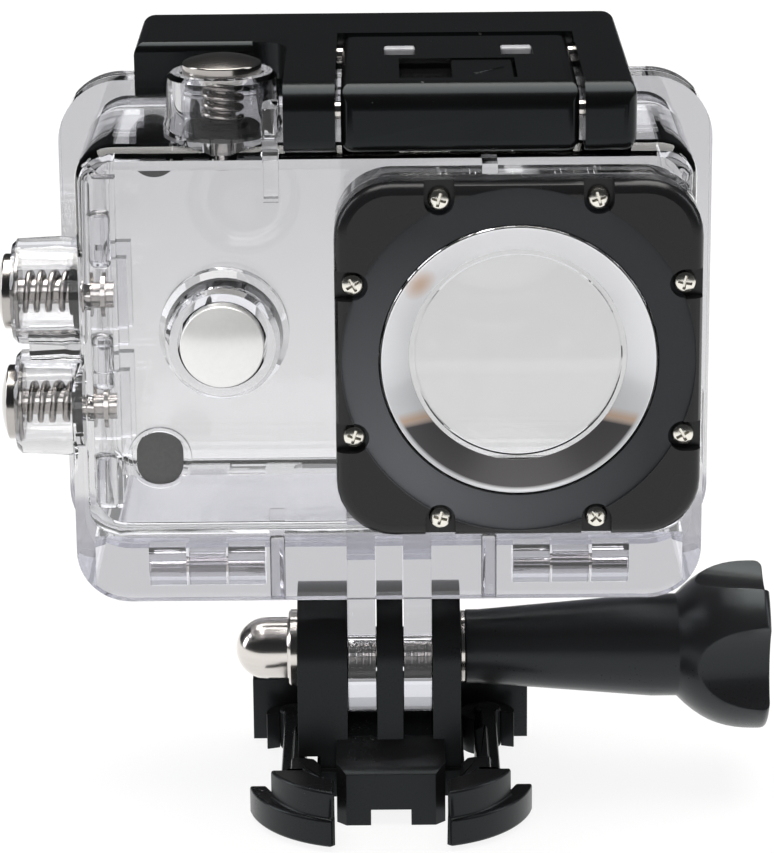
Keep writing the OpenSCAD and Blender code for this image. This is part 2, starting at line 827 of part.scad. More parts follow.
module lower_side_cap() color(STEEL) at_side_button(-1) button_cap(side_cap_d, side_collar_h);
module lower_side_plunger() color(STEEL) at_side_button(-1) button_plunger(side_collar_h);
module lower_side_spring() color(STEEL) at_side_button(-1) button_spring(side_collar_h);
module lower_side_seal() color(RUBBER) at_side_button(-1) button_seal(side_cap_d);
module lower_side_clip() color(STEEL) at_side_button(-1) button_clip();

// ---------- Thumb screw and nut ----------

module thumb_bolt() color(STEEL)
    rod_x(nut_face_x - nut_flange_t - 3, 0, pivot_z, screw_d / 2, head_x - nut_face_x);

module thumb_washer() color(STEEL)
    translate([washer_x, 0, pivot_z])
        rotate([0, 90, 0])
            ring(4.6, screw_d / 2 + slip, washer_t - 0.02);

// Profile of the thumb screw's head: it swells from the barrel to a rounded rim
module head_profile() {
    swell = head_d / 2 - barrel_d1 / 2;
    straight = head_len - head_rim;
    polygon(concat(
        [[0, -1], [barrel_d1 / 2, -1]],
        [for (t = [0 : 0.1 : 1]) [barrel_d1 / 2 + swell * (1 - pow(1 - t, 2.5)), straight * t]],
        [for (a = [15 : 15 : 90])
            [head_d / 2 - head_rim * (1 - cos(a)), straight + head_rim * sin(a)]],
        [[0, head_len]]
    ));
}

// Tapered barrel and a head with four scooped lobes
module thumb_knob() color(BLACK)
    translate([barrel_x, 0, pivot_z])
        rotate([0, 90, 0])
            difference() {
                union() {
                    rotate_extrude()
                        polygon([
                            [0, 0], [barrel_d0 / 2, 0], [barrel_d0 / 2, 1.5],
                            [barrel_d1 / 2, barrel_len - 3], [barrel_d1 / 2, barrel_len - 0.5],
                            [0, barrel_len - 0.5]
                        ]);
                    translate([0, 0, barrel_len])
                        rotate_extrude()
                            head_profile();
                }
                // Scoops between the four lobes, deepest at the rim
                for (a = [0 : 90 : 270])
                    rotate([0, 0, a])
                        translate([head_d / 2 + scoop_r - scoop_depth, 0, barrel_len + head_len])
                            rotate([0, -scoop_tilt, 0])
                                translate([0, 0, -head_len])
                                    cylinder(r = scoop_r, h = 2 * head_len);
                translate([0, 0, -1])
                    cylinder(r = screw_d / 2 + embed, h = barrel_len + 1.2);
            }

module acorn_nut() color(STEEL)
    translate([nut_face_x, 0, pivot_z])
        rotate([0, -90, 0])
            difference() {
                union() {
                    translate([0, 0, 0.02])
                        cylinder(d = nut_d + 1.8, h = nut_flange_t);
                    cylinder(d = nut_d, h = nut_len - nut_d / 2);
                    translate([0, 0, nut_len - nut_d / 2])
                        sphere(d = nut_d);
                }
                translate([0, 0, -2])
                    cylinder(d = screw_d + 2 * slip, h = 2 + nut_flange_t + 3.2);
                translate([0, 0, -nut_d])
                    cylinder(d = 3 * nut_d, h = nut_d + 0.02);
            }

// ---------- Buckle ----------

// Side view of a prong: round head on a leg that widens to the plate
module prong_outline() {
    translate([0, pivot_z])
        circle(prong_r);
    polygon([
        [-prong_r, pivot_z], [prong_r, pivot_z],
        [prong_r + 1, plate_top - 0.5], [-prong_r - 1, plate_top - 0.5]
    ]);
}

module buckle_base() color(BLACK)
    difference() {
        union() {
            translate([-plate_w / 2, plate_y0 + 4, plate_z0])
                cube([plate_w, plate_len - 4, plate_top - plate_z0]);
            // Nose block in front, with a bevelled top edge
            facing_right(-block_w / 2)
                linear_extrude(block_w)
                    polygon([
                        [plate_y0, plate_z0], [plate_y0, block_top - 0.8],
                        [plate_y0 + 0.8, block_top], [-prong_r, block_top + 1.6],
                        [-prong_r + 2, plate_z0]
                    ]);
            // Rails that rest on the ground
            for (x = [-block_w / 2, block_w / 2 - foot_w])
                translate([x, plate_y0, 0])
                    cube([foot_w, plate_len, plate_z0 + 1]);
            // Rear wings
            translate([-buckle_w / 2, plate_y1 - wing_t, 0.4])
                cube([buckle_w, wing_t, wing_top - 0.4]);
            for (side = [-1, 1])
                translate([side * clip_root_x, clip_root_y, clip_z0])
                    cylinder(r = clip_root_r + 1.6, h = plate_top - clip_z0);
            for (x = [-prong_t / 2, outer_prong_x])
                facing_right(x)
                    linear_extrude(x < 0 ? prong_t : outer_prong_t)
                        prong_outline();
            facing_right(-outer_prong_x - outer_prong_t)
                linear_extrude(outer_prong_t)
                    prong_outline();
            // Boss that carries the nut, clear above the left clip
            facing_right(-outer_prong_x - outer_prong_t - nut_boss)
                linear_extrude(nut_boss + eps)
                    intersection() {
                        prong_outline();
                        translate([-2 * prong_r, clip_z1 - 0.8])
                            square([4 * prong_r, 2 * pivot_z]);
                    }
        }
        rod_x(-50, 0, pivot_z, bore_r, 100);
        // Sockets of the clips' roots, open to the outside and the front
        for (side = [-1, 1]) {
            translate([side * clip_root_x, clip_root_y, -1])
                cylinder(r = clip_root_r + slip, h = 12);
            translate([side * clip_root_x, clip_root_y, 0])
                clip_swing_room(side);
        }
        // Room under the fingers
        for (x = [-finger_x - finger_t - side_gap, finger_x - side_gap])
            rod_x(x, 0, pivot_z, finger_r + air, finger_t + 2 * side_gap);
    }

// Wedge that the clip's arm sweeps as it is squeezed
module clip_swing_room(side) {
    linear_extrude(12)
        polygon([
            [side * -clip_arm_t / 2 - side * air, 0], [side * -clip_arm_t / 2 - side * 1.2, -6],
            [side * -clip_arm_t / 2 - side * 1.2, -9], [side * clip_root_r * 3, -9],
            [side * clip_root_r * 3, -1.2], [side * (clip_arm_t / 2 + air), 0]
        ]);
}

// One side clip: round root, arm, and a petal-shaped pad over a crescent fin
module buckle_clip(side) {
    arm_top = clip_z1 - 1.6;
    arm_front = -clip_reach + 6.4;
    translate([side * clip_root_x, clip_root_y, clip_z0])
        cylinder(r = clip_root_r, h = arm_top - clip_z0);
    translate([side * clip_root_x - clip_arm_t / 2, arm_front, clip_z0])
        cube([clip_arm_t, clip_root_y - arm_front, arm_top - clip_z0]);
    translate([0, 0, clip_z0])
        linear_extrude(clip_z1 - clip_z0)
            pad_outline(side);
    translate([0, 0, clip_z0])
        linear_extrude(fin_z1 - clip_z0)
            fin_outline(side);
}

// Top view of the pad, thinner where it meets the nose block
module pad_outline(side) {
    intersection() {
        difference() {
            translate([side * 2.6, pad_r - 1.2 - clip_reach])
                circle(pad_r - 1);
            translate([side * 3.9, pad_r - 2.5 - clip_reach])
                circle(6.6);
        }
        translate([side * 10 - 3.6, -clip_reach - 1])
            square([7.2, pad_depth + 1]);
    }
}

// Top view of the fin that the finger presses
module fin_outline(side) {
    intersection() {
        difference() {
            translate([side * 3.2, pad_r - clip_reach])
                circle(pad_r + 0.2);
            translate([side * 1.4, pad_r + 2.2 - clip_reach])
                circle(pad_r + 0.6);
        }
        translate([side * 12 - 5.4, -clip_reach - 1])
            square([10.8, pad_depth + 4.4]);
    }
}

module buckle_clip_left() color(BLACK) buckle_clip(-1);
module buckle_clip_right() color(BLACK) buckle_clip(1);

buckle_base();
buckle_clip_left();
buckle_clip_right();
acorn_nut();
thumb_knob();
thumb_bolt();
thumb_washer();
front_shell();
lens_bezel();
bezel_screws();
lens_window();
window_gasket();
sound_pad();
hinge_pins();
latch_pin();
back_door();
door_gasket();
door_pad();
latch_frame();
lever_pin();
latch_lever();
slide_lock();
shutter_cap();
shutter_plunger();
shutter_spring();
shutter_seal();
shutter_clip();
front_cap();
front_plunger();
front_spring();
front_seal();
front_clip();
upper_side_cap();
upper_side_plunger();
upper_side_spring();
upper_side_seal();
upper_side_clip();
lower_side_cap();
lower_side_plunger();
lower_side_spring();
lower_side_seal();
lower_side_clip();
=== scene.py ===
"""Looks of a clear waterproof camera housing on its tilt mount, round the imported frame.

Lengths are in metres. X runs to the right seen from the front, Y to the back, Z up.
"""
import json
import math

import bmesh
import bpy
from mathutils import Matrix, Vector


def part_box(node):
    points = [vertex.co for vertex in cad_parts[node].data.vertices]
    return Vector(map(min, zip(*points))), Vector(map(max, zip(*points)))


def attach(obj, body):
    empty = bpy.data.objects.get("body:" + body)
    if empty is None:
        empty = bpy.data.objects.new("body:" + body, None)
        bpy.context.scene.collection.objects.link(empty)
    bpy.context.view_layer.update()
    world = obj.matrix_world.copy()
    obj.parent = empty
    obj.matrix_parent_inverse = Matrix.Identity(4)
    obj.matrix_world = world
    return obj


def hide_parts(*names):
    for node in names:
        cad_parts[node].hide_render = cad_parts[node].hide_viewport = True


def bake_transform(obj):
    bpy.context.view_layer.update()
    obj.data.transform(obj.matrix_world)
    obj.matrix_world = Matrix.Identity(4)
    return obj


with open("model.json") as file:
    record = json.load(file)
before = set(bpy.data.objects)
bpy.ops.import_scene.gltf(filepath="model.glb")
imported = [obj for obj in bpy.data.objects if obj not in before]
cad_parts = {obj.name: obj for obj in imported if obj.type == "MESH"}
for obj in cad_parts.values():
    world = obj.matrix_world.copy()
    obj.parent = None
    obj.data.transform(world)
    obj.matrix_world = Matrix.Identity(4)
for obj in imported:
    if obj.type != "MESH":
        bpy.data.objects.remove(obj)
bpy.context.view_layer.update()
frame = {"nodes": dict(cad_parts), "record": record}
MM = 0.001


# ---------- Shader expressions ----------

class Sock:
    """An output socket that takes part in expressions."""

    def __init__(self, tree, out):
        self.tree = tree
        self.out = out

    def math(self, operation, *values):
        return self.tree.node("ShaderNodeMath", {"operation": operation}, *values)

    def __add__(self, other):
        return self.math("ADD", self, other)

    def __radd__(self, other):
        return self.math("ADD", other, self)

    def __sub__(self, other):
        return self.math("SUBTRACT", self, other)

    def __rsub__(self, other):
        return self.math("SUBTRACT", other, self)

    def __mul__(self, other):
        return self.math("MULTIPLY", self, other)

    def __rmul__(self, other):
        return self.math("MULTIPLY", other, self)

    def clamp(self, low=0.0, high=1.0):
        return self.math("MINIMUM", self.math("MAXIMUM", self, low), high)

    def ramp(self, low, high):
        """0 at low, 1 at high, and even between."""
        return ((self - low) * (1.0 / (high - low))).clamp()


class Tree:
    """The node tree of one material."""

    def __init__(self, name):
        self.material = bpy.data.materials.new(name)
        self.material.use_nodes = True
        self.nodes = self.material.node_tree.nodes
        self.links = self.material.node_tree.links
        self.nodes.clear()
        self.shader = self.nodes.new("ShaderNodeBsdfPrincipled")
        end = self.nodes.new("ShaderNodeOutputMaterial")
        self.links.new(self.shader.outputs[0], end.inputs[0])
        self.coords = self.nodes.new("ShaderNodeTexCoord").outputs["Object"]

    def put(self, socket, value):
        if isinstance(value, Sock):
            self.links.new(value.out, socket)
        elif isinstance(value, bpy.types.NodeSocket):
            self.links.new(value, socket)
        else:
            socket.default_value = value

    def node(self, kind, settings, *values, out=0, **named):
        """Adds any node: its settings first, then values or links for its sockets."""
        made = self.nodes.new(kind)
        for key, value in settings.items():
            setattr(made, key, value)
        for socket, value in zip(made.inputs, values):
            self.put(socket, value)
        for key, value in named.items():
            self.put(made.inputs[key.replace("_", " ")], value)
        return Sock(self, made.outputs[out])

    def set(self, **named):
        for key, value in named.items():
            self.put(self.shader.inputs[key.replace("_", " ")], value)
        return self

    def noise(self, scale, detail=2.0):
        return self.node("ShaderNodeTexNoise", {}, Vector=self.coords, Scale=scale,
                         Detail=detail, Roughness=0.5)

    def mix(self, mask, low, high):
        """Colour mix: low where mask is 0, high where it is 1."""
        made = self.nodes.new("ShaderNodeMix")
        made.data_type = "RGBA"
        for place, value in ((0, mask), (6, low), (7, high)):
            self.put(made.inputs[place], value)
        return Sock(self, made.outputs[2])

    def bump(self, height, distance):
        return self.node("ShaderNodeBump", {}, Distance=distance, Height=height)

    def distance(self, place, keep=(1.0, 1.0, 1.0)):
        """Distance to a place, along the axes kept."""
        flat = self.node("ShaderNodeVectorMath", {"operation": "MULTIPLY"}, self.coords, keep)
        goal = tuple(p * k for p, k in zip(place, keep))
        return self.node("ShaderNodeVectorMath", {"operation": "DISTANCE"}, flat, goal, out=1)


def grey(value):
    return (value, value, value, 1.0)


def rgb(r, g, b):
    return (r, g, b, 1.0)


# ---------- Places taken from the frame ----------

BEZEL_LOW, BEZEL_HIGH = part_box("lens_bezel")
LENS = (BEZEL_LOW + BEZEL_HIGH) / 2
BEZEL_FRONT = BEZEL_LOW.y
LEVER_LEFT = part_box("latch_lever")[0].x


# ---------- Materials ----------

def clear_polycarbonate():
    """Clear plastic with painted shade: greyer towards the top and paler lower down, and a chin
    darkened by painted shadow, with a faint lilac tint of its own.
    """
    tree = Tree("clear_polycarbonate")
    ripple = tree.noise(60.0, 3.0)
    wear = tree.noise(900.0, 2.0).ramp(0.45, 0.8)
    height = tree.node("ShaderNodeSeparateXYZ", {}, tree.coords, out=2)
    # painted shadow: the chin's darker tint
    chin = height.ramp(33.2 * MM, 32.4 * MM)
    # painted shade: the face greyer towards the top and paler lower down, with a random ripple
    face = tree.mix((height.ramp(72.0 * MM, 42.0 * MM) + 0.25 * (ripple - 0.5)).clamp(),
                    rgb(0.86, 0.86, 0.878), rgb(0.965, 0.965, 0.975))
    tree.set(Base_Color=tree.mix(chin, face, rgb(0.72, 0.72, 0.755)),
             Transmission_Weight=1.0, IOR=1.5, Roughness=0.01 + 0.03 * wear,
             Normal=tree.bump(ripple, 0.00002))
    return tree.material


def window_glass():
    tree = Tree("window_glass")
    haze = tree.noise(300.0, 2.0).ramp(0.4, 0.8)
    tree.set(Base_Color=tree.mix(haze, grey(0.92), grey(0.9)),
             Transmission_Weight=1.0, IOR=1.5, Roughness=0.005 + 0.02 * haze)
    return tree.material


def bevel_painted_light():
    """The window's polished bevel with its light painted on: paler higher up, a painted dark band
    below, and three painted amber glints.
    """
    tree = Tree("window_bevel")
    haze = tree.noise(120.0, 2.0)
    # painted glint: an amber spot at the upper left
    warm_glint = tree.distance(LENS + Vector((-11.2, 0.0, 8.9)) * MM).ramp(2.4 * MM, 1.0 * MM)
    height = tree.node("ShaderNodeSeparateXYZ", {}, tree.coords, out=2) - LENS.z
    # painted light: the ring paler higher up
    base = tree.mix((height.ramp(-6.0 * MM, 12.0 * MM) + haze * 0.1).clamp(),
                    rgb(0.66, 0.67, 0.69), rgb(0.8, 0.8, 0.82))
    inner = tree.distance(LENS, (1.0, 0.0, 1.0)).ramp(14.7 * MM, 14.4 * MM)
    # painted shade: a dark band low in the ring's inner part, with painted amber glints at its two
    # ends
    shade = height.ramp(-6.9 * MM, -7.6 * MM)
    edge = height.ramp(-5.9 * MM, -6.8 * MM) - shade
    spots = (warm_glint + inner * edge).clamp() * 0.6
    glow = tree.mix(inner * shade, base, rgb(0.075, 0.072, 0.075))
    tree.set(Base_Color=tree.mix(spots, glow, rgb(0.5, 0.24, 0.06)), Metallic=0.3,
             Roughness=0.3 + 0.06 * haze, Coat_Weight=0.3)
    return tree.material


def black_plastic(name, shade, rough, depth, gloss=0.5):
    """Moulded black plastic: fine grain, broad unevenness, and a few pale specks of dust."""
    tree = Tree(name)
    fine = tree.noise(2600.0, 3.0)
    broad = tree.noise(90.0, 3.0)
    specks = tree.noise(1100.0, 1.0).ramp(0.8, 0.84)
    base = tree.mix(broad, rgb(shade, shade, shade * 1.08),
                    rgb(shade * 1.4, shade * 1.4, shade * 1.5))
    tree.set(Base_Color=tree.mix(specks * 0.25, base, grey(0.18)),
             Roughness=(rough - 0.05 + 0.1 * broad + 0.08 * fine).clamp(0.05, 1.0),
             IOR=1.3, Specular_IOR_Level=gloss, Specular_Tint=rgb(0.86, 0.97, 1.0),
             Normal=tree.bump(fine, depth))
    return tree.material


def bezel_plastic():
    """Glossy black round a shallow dish with a fine grain; the dish is lighter and rougher, with a
    painted sheen that brightens it towards its lower left.
    """
    tree = Tree("bezel_plastic")
    fine = tree.noise(3200.0, 3.0)
    broad = tree.noise(90.0, 3.0)
    dish = tree.distance(LENS, (1.0, 0.0, 1.0)).ramp(19.4 * MM, 19.2 * MM)
    # painted sheen: the dish brighter towards its lower left
    sheen = tree.distance(LENS + Vector((-12.4, 0.0, -12.4)) * MM, (1.0, 0.0, 1.0))
    dish_painted_sheen = tree.mix(sheen.ramp(27.0 * MM, 2.0 * MM), rgb(0.021, 0.023, 0.026),
                     rgb(0.088, 0.092, 0.1))
    base = tree.mix(broad, rgb(0.006, 0.006, 0.0065), rgb(0.009, 0.009, 0.01))
    tree.set(Base_Color=tree.mix(dish, base, dish_painted_sheen),
             Roughness=(0.24 + 0.06 * broad + dish * (0.2 + 0.14 * fine)).clamp(0.05, 1.0),
             IOR=1.35, Specular_IOR_Level=0.5,
             Normal=tree.bump(fine * (0.25 + 0.75 * dish), 0.00002))
    return tree.material


def metal(name, colour, rough):
    """Bare metal with fine lines across its height."""
    tree = Tree(name)
    stretch = (300.0, 300.0, 2500.0)
    lines = tree.node("ShaderNodeVectorMath", {"operation": "MULTIPLY"}, tree.coords, stretch)
    brushed = tree.node("ShaderNodeTexNoise", {}, Vector=lines, Scale=1.0, Detail=2.0)
    tree.set(Base_Color=tree.mix(brushed, rgb(*[c * 0.9 for c in colour]), rgb(*colour)),
             Metallic=1.0, Roughness=rough + 0.06 * brushed, Normal=tree.bump(brushed, 0.000004))
    return tree.material


def pearl_metal():
    tree = Tree("pearl_metal")
    flakes = tree.noise(1800.0, 2.0)
    tree.set(Base_Color=tree.mix(flakes, rgb(0.7, 0.7, 0.69), rgb(0.76, 0.76, 0.75)),
             Metallic=0.4, Roughness=0.26 + 0.08 * flakes, Coat_Weight=0.4,
             Normal=tree.bump(flakes, 0.000001))
    return tree.material


def soft_matt(name, shade, rough=0.7, scale=1500.0):
    tree = Tree(name)
    fine = tree.noise(scale, 3.0)
    tree.set(Base_Color=tree.mix(fine, grey(shade), grey(shade * 1.5)),
             Roughness=rough - 0.1 + 0.2 * fine, Normal=tree.bump(fine, 0.00003))
    return tree.material


def clear_silicone():
    tree = Tree("grey_silicone")
    haze = tree.noise(400.0, 2.0)
    tree.set(Base_Color=tree.mix(haze, grey(0.8), grey(0.88)), Transmission_Weight=0.9,
             IOR=1.4, Roughness=0.25 + 0.1 * haze)
    return tree.material


def painted_light_insert():
    # painted light: a pale fill standing in for light seen through the lever's windows
    tree = Tree("painted_light_insert")
    haze = tree.noise(800.0, 2.0)
    tree.set(Base_Color=tree.mix(haze, rgb(0.3, 0.3, 0.325), rgb(0.44, 0.44, 0.46)),
             Transmission_Weight=0.25, IOR=1.45, Roughness=0.2 + 0.1 * haze)
    return tree.material


FINISHES = {
    "clear_polycarbonate": clear_polycarbonate(),
    "window_glass": window_glass(),
    "buckle_plastic": black_plastic("buckle_plastic", 0.006, 0.25, 0.000008),
    "knob_plastic": black_plastic("knob_plastic", 0.01, 0.26, 0.000008, gloss=0.6),
    "bezel_plastic": bezel_plastic(),
    "latch_plastic": black_plastic("latch_plastic", 0.0022, 0.2, 0.000004),
    "nickel": metal("nickel", (0.72, 0.7, 0.64), 0.2),
    "polished_steel": metal("polished_steel", (0.6, 0.57, 0.54), 0.14),
    "spring_steel": metal("spring_steel", (0.5, 0.47, 0.44), 0.22),
    "cap_steel": metal("cap_steel", (0.4, 0.38, 0.36), 0.16),
    "pearl_metal": pearl_metal(),
    "black_rubber": soft_matt("black_rubber", 0.012),
    "grey_silicone": clear_silicone(),
    "grey_foam": soft_matt("grey_foam", 0.075, 0.85, 2600.0),
}
BEVEL_PAINTED_LIGHT = bevel_painted_light()
INSERT_PAINTED_LIGHT = painted_light_insert()
SCREW_FINISH = metal("screw_metal", (0.66, 0.64, 0.6), 0.36)
SLOT_OF = {row["node"]: row["material_slot"] for row in frame["record"]["subparts"]}
BODY_OF = {node: body for body, nodes in frame["record"]["behaviour"]["bodies"].items()
           for node in nodes}


# ---------- Mesh tools ----------

def add(name, mesh):
    piece = bpy.data.objects.new(name, mesh)
    bpy.context.scene.collection.objects.link(piece)
    return piece


def mesh_of(work, name):
    mesh = bpy.data.meshes.new(name)
    work.to_mesh(mesh)
    work.free()
    return mesh


def settled(piece):
    """Turns what a piece's modifiers make into its plain mesh."""
    graph = bpy.context.evaluated_depsgraph_get()
    mesh = bpy.data.meshes.new_from_object(piece.evaluated_get(graph))
    piece.modifiers.clear()
    piece.data = mesh
    return piece


def combined(piece, other, operation):
    """Cuts, joins or trims a piece with another mesh, which is used up."""
    tool = add("tool", other)
    step = piece.modifiers.new("cut", "BOOLEAN")
    step.operation = operation
    step.solver = "EXACT"
    step.object = tool
    settled(piece)
    bpy.data.objects.remove(tool)
    return piece


def merged_copy(node, near=0.002 * MM):
    """A copy of a CAD node's mesh with its doubles merged and its flat areas joined."""
    work = bmesh.new()
    work.from_mesh(frame["nodes"][node].data)
    bmesh.ops.remove_doubles(work, verts=work.verts, dist=near)
    bmesh.ops.dissolve_limit(work, angle_limit=math.radians(0.6), verts=work.verts,
                             edges=work.edges, use_dissolve_boundaries=False)
    return mesh_of(work, node + "_finished")


def rounded_block(low, high, radius, segments=6):
    work = bmesh.new()
    size = Vector(high) - Vector(low)
    place = Matrix.Translation((Vector(high) + Vector(low)) / 2) @ Matrix.Diagonal((*size, 1.0))
    bmesh.ops.create_cube(work, size=1.0, matrix=place)
    bmesh.ops.bevel(work, geom=work.edges[:], offset=radius, segments=segments,
                    profile=0.5, affect="EDGES", clamp_overlap=True)
    return mesh_of(work, "block")


def prism(outline, low, high, axis="Z"):
    """A flat outline drawn square to an axis and drawn out from low to high along it."""
    def place(a, b, c):
        return (c, a, b) if axis == "X" else (a, b, c)
    count = len(outline)
    work = bmesh.new()
    rings = [[work.verts.new(place(a, b, c)) for a, b in outline] for c in (low, high)]
    work.faces.new(rings[0])
    work.faces.new(rings[1])
    for i in range(count):
        j = (i + 1) % count
        work.faces.new((rings[0][i], rings[0][j], rings[1][j], rings[1][i]))
    bmesh.ops.recalc_face_normals(work, faces=work.faces)
    return mesh_of(work, "prism")


def lathe(profile, place, turn, steps):
    """Spins a profile of (radius, height) pairs about a local Z axis turned and put in place."""
    work = bmesh.new()
    matrix = Matrix.Translation(place) @ turn
    rings = []
    for r, h in profile:
        if r < 1e-7:
            rings.append([work.verts.new(matrix @ Vector((0.0, 0.0, h)))])
            continue
        rings.append([work.verts.new(matrix @ Vector((r * math.cos(math.tau * i / steps),
                                                      r * math.sin(math.tau * i / steps), h)))
                      for i in range(steps)])
    for low, high in zip(rings, rings[1:]):
        for i in range(steps if len(low) + len(high) > 2 else 0):
            j = (i + 1) % steps
            corners = [low[i % len(low)], low[j % len(low)],
                       high[j % len(high)], high[i % len(high)]]
            work.faces.new(list(dict.fromkeys(corners)))
    bmesh.ops.recalc_face_normals(work, faces=work.faces)
    return mesh_of(work, "lathe")


def joined(piece):
    """Joins the doubled ring of vertices where a closed profile meets itself."""
    work = bmesh.new()
    work.from_mesh(piece.data)
    bmesh.ops.remove_doubles(work, verts=work.verts, dist=1e-7)
    bmesh.ops.recalc_face_normals(work, faces=work.faces)
    work.to_mesh(piece.data)
    work.free()
    return piece


def arc(centre, radius, start, end, steps):
    """Points on an arc, from one angle in degrees to another."""
    return [(centre[0] + radius * math.cos(math.radians(start + (end - start) * i / steps)),
             centre[1] + radius * math.sin(math.radians(start + (end - start) * i / steps)))
            for i in range(steps + 1)]


TOWARDS_FRONT = Matrix.Rotation(math.radians(90.0), 4, "X")
TOWARDS_LEFT = Matrix.Rotation(math.radians(-90.0), 4, "Y")
TOWARDS_RIGHT = Matrix.Rotation(math.radians(90.0), 4, "Y")
UPWARDS = Matrix.Identity(4)


def smooth(piece, angle=30.0):
    for face in piece.data.polygons:
        face.use_smooth = True
    piece.data.set_sharp_from_angle(angle=math.radians(angle))
    return piece


def soften(piece, width, angle=30.0, segments=3, clamp=True):
    """Rounds a piece's edges by width."""
    smooth(piece, angle)
    bevel = piece.modifiers.new("edges", "BEVEL")
    bevel.width = width
    bevel.segments = segments
    bevel.limit_method = "ANGLE"
    bevel.angle_limit = math.radians(angle)
    bevel.use_clamp_overlap = clamp
    piece.modifiers.new("flats", "WEIGHTED_NORMAL").keep_sharp = True
    return piece


def finish(piece, node):
    """Gives a piece the finish and the body of the CAD node that it stands for."""
    piece.data.materials.clear()
    piece.data.materials.append(FINISHES[SLOT_OF[node]])
    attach(piece, BODY_OF[node])
    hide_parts(node)
    return piece


def extra(piece, body, slot, dressing=None):
    """Dresses a piece that stands for no CAD node, and puts it on its body."""
    piece.data.materials.append(dressing or FINISHES[slot])
    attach(piece, body)


# ---------- Geometry Nodes ----------

class Graph:
    """A Geometry Nodes tree with named inputs, for shapes that repeat or follow a rule."""

    def __init__(self, name, inputs):
        self.tree = bpy.data.node_groups.new(name, "GeometryNodeTree")
        self.tree.interface.new_socket("Geometry", in_out="INPUT",
                                       socket_type="NodeSocketGeometry")
        self.sockets = {}
        for key, kind in inputs.items():
            self.sockets[key] = self.tree.interface.new_socket(
                key, in_out="INPUT", socket_type="NodeSocket" + kind).identifier
        self.tree.interface.new_socket("Geometry", in_out="OUTPUT",
                                       socket_type="NodeSocketGeometry")
        self.start = self.tree.nodes.new("NodeGroupInput")
        self.end = self.tree.nodes.new("NodeGroupOutput")

    def given(self, key):
        return self.start.outputs[key]

    def node(self, kind, settings, out=0, **named):
        """Adds a node. A name such as i2 stands for the input of that number."""
        made = self.tree.nodes.new(kind)
        for key, value in settings.items():
            setattr(made, key, value)
        for key, value in named.items():
            numbered = key[0] == "i" and key[1:].isdigit()
            socket = made.inputs[int(key[1:]) if numbered else key.replace("_", " ")]
            if isinstance(value, bpy.types.NodeSocket):
                self.tree.links.new(value, socket)
            else:
                socket.default_value = value
        if isinstance(out, int):
            return [socket for socket in made.outputs if socket.enabled][out]
        return made.outputs[out]

    def close(self, geometry):
        """Ends the tree in Realize Instances and Set Material."""
        whole = self.node("GeometryNodeRealizeInstances", {}, Geometry=geometry)
        dressed = self.node("GeometryNodeSetMaterial", {}, Geometry=whole,
                            Material=self.given("Finish"))
        self.tree.links.new(dressed, self.end.inputs[0])
        return self

    def grow(self, name, mesh, **values):
        """Runs the tree on a mesh with the values given, and keeps the plain result."""
        piece = add(name, mesh)
        step = piece.modifiers.new("grow", "NODES")
        step.node_group = self.tree
        for key, value in values.items():
            step[self.sockets[key.replace("_", " ")]] = value
        return settled(piece)


def spring_graph():
    graph = Graph("spring", {"Coil radius": "Float", "Wire radius": "Float", "Height": "Float",
                             "Turns": "Float", "Place": "Vector", "Turn": "Vector",
                             "Finish": "Material"})
    coil = graph.node("GeometryNodeCurveSpiral", {}, Resolution=32, Rotations=graph.given("Turns"),
                      Start_Radius=graph.given("Coil radius"),
                      End_Radius=graph.given("Coil radius"),
                      Height=graph.given("Height"))
    wire = graph.node("GeometryNodeCurvePrimitiveCircle", {}, Resolution=12,
                      Radius=graph.given("Wire radius"))
    tube = graph.node("GeometryNodeCurveToMesh", {}, Curve=coil, Profile_Curve=wire, Fill_Caps=True)
    soft = graph.node("GeometryNodeSetShadeSmooth", {}, Geometry=tube)
    turn = graph.node("FunctionNodeEulerToRotation", {}, Euler=graph.given("Turn"))
    put = graph.node("GeometryNodeTransform", {}, Geometry=soft, Translation=graph.given("Place"),
                     Rotation=turn)
    return graph.close(put)


def screw_graph():
    """A screw facing the front at each vertex of the host mesh, each turned by chance."""
    graph = Graph("screws", {"Screw": "Object", "Seed": "Int", "Finish": "Material"})
    screw = graph.node("GeometryNodeObjectInfo", {}, "Geometry", Object=graph.given("Screw"))
    spin = graph.node("FunctionNodeRandomValue", {"data_type": "FLOAT"}, "Value",
                      i2=0.0, i3=1.5, Seed=graph.given("Seed"))
    about = graph.node("ShaderNodeCombineXYZ", {}, X=math.radians(90.0), Y=spin, Z=0.0)
    turn = graph.node("FunctionNodeEulerToRotation", {}, Euler=about)
    placed = graph.node("GeometryNodeInstanceOnPoints", {}, Points=graph.given("Geometry"),
                        Instance=screw, Rotation=turn)
    return graph.close(placed)


# ---------- Pieces that keep the CAD shape, with their edges rounded ----------

# widths in millimetres
EDGES = {
    "thumb_knob": 0.45, "lens_bezel": 0.22,
    "front_cap": 0.12, "shutter_cap": 0.12, "upper_side_cap": 0.12, "lower_side_cap": 0.12,
    "front_shell": 0.3, "back_door": 0.35,
}
DRAWN_ANEW = ("acorn_nut", "thumb_bolt", "thumb_washer", "latch_frame", "latch_lever",
              "slide_lock", "buckle_base", "buckle_clip_left", "buckle_clip_right",
              "lens_window", "bezel_screws", "shutter_spring",
              "front_spring", "upper_side_spring", "lower_side_spring")
# degrees past which an edge counts as sharp
ANGLES = {"front_shell": 25.0, "back_door": 25.0}


def kept(node):
    """A CAD node in its finish, with its edges rounded where EDGES gives a width."""
    piece = add(node + "_finished", merged_copy(node))
    angle = ANGLES.get(node, 30.0)
    width = EDGES.get(node, 0.0) * MM
    if width:
        soften(piece, width, angle, 2)
    else:
        smooth(piece, angle)
    return finish(piece, node)


# ---------- Latch ----------

